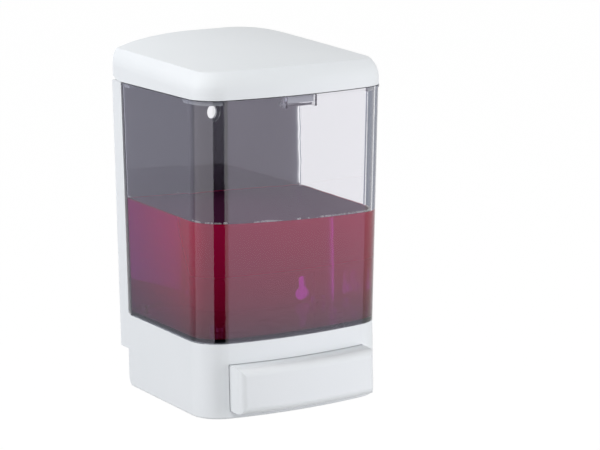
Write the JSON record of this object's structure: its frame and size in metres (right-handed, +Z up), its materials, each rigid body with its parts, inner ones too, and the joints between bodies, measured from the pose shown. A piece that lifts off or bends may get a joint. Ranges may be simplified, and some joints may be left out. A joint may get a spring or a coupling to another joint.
{
  "type": "wall mounted soap dispenser",
  "caption": "Wall mounted soap dispenser: clear tank on a white back panel and base, hinged crowned lid, and a sprung push bar that works a piston pump.",
  "frame": {"origin": "middle of the wall face, on the crossing of the two ribs behind the back panel, 105 mm above the underside of the base", "axes": "+X to the viewer's right, +Y into the wall, +Z up"},
  "size_m": [0.1236, 0.1305, 0.2139],
  "materials": {
    "white_abs": "moulded, satin gloss",
    "smoked_clear": "clear moulded styrene plastic with a light grey smoke, polished",
    "white_acetal": "moulded, satin",
    "black_rubber": "moulded, matt",
    "silicone": "moulded, milky",
    "steel": "drawn and turned, bright"
  },
  "bodies": {
    "body": {"housing": "white_abs", "tank": "smoked_clear", "tank_seal": "black_rubber", "tank_screws": "steel", "lid_hinge_pins": "steel", "guide_screws": "steel", "guide_washers": "steel", "pump_body": "white_acetal", "pump_screws": "steel", "rod_guide": "white_acetal", "inlet_valve": "silicone", "outlet_valve": "silicone", "nozzle": "white_acetal", "return_spring": "steel"},
    "bar": {"push_bar": "white_abs", "piston_rod": "white_acetal", "piston_seal": "black_rubber", "piston_disc": "white_acetal", "piston_screw": "steel", "rod_pin": "steel"},
    "lid": {"lid": "white_abs"}
  },
  "joints": [
    {"name": "bar_push", "type": "slide", "parent": "body", "child": "bar", "axis": [0, 1, 0], "range_m": [0, 0.01], "stiffness_N_per_m": 400, "springref_m": -0.012, "deforming": ["return_spring"]},
    {"name": "lid_hinge", "type": "hinge", "parent": "body", "child": "lid", "pos_m": [0, -0.0128, 0.097], "axis": [-1, 0, 0], "range_deg": [0, 80]}
  ]
}
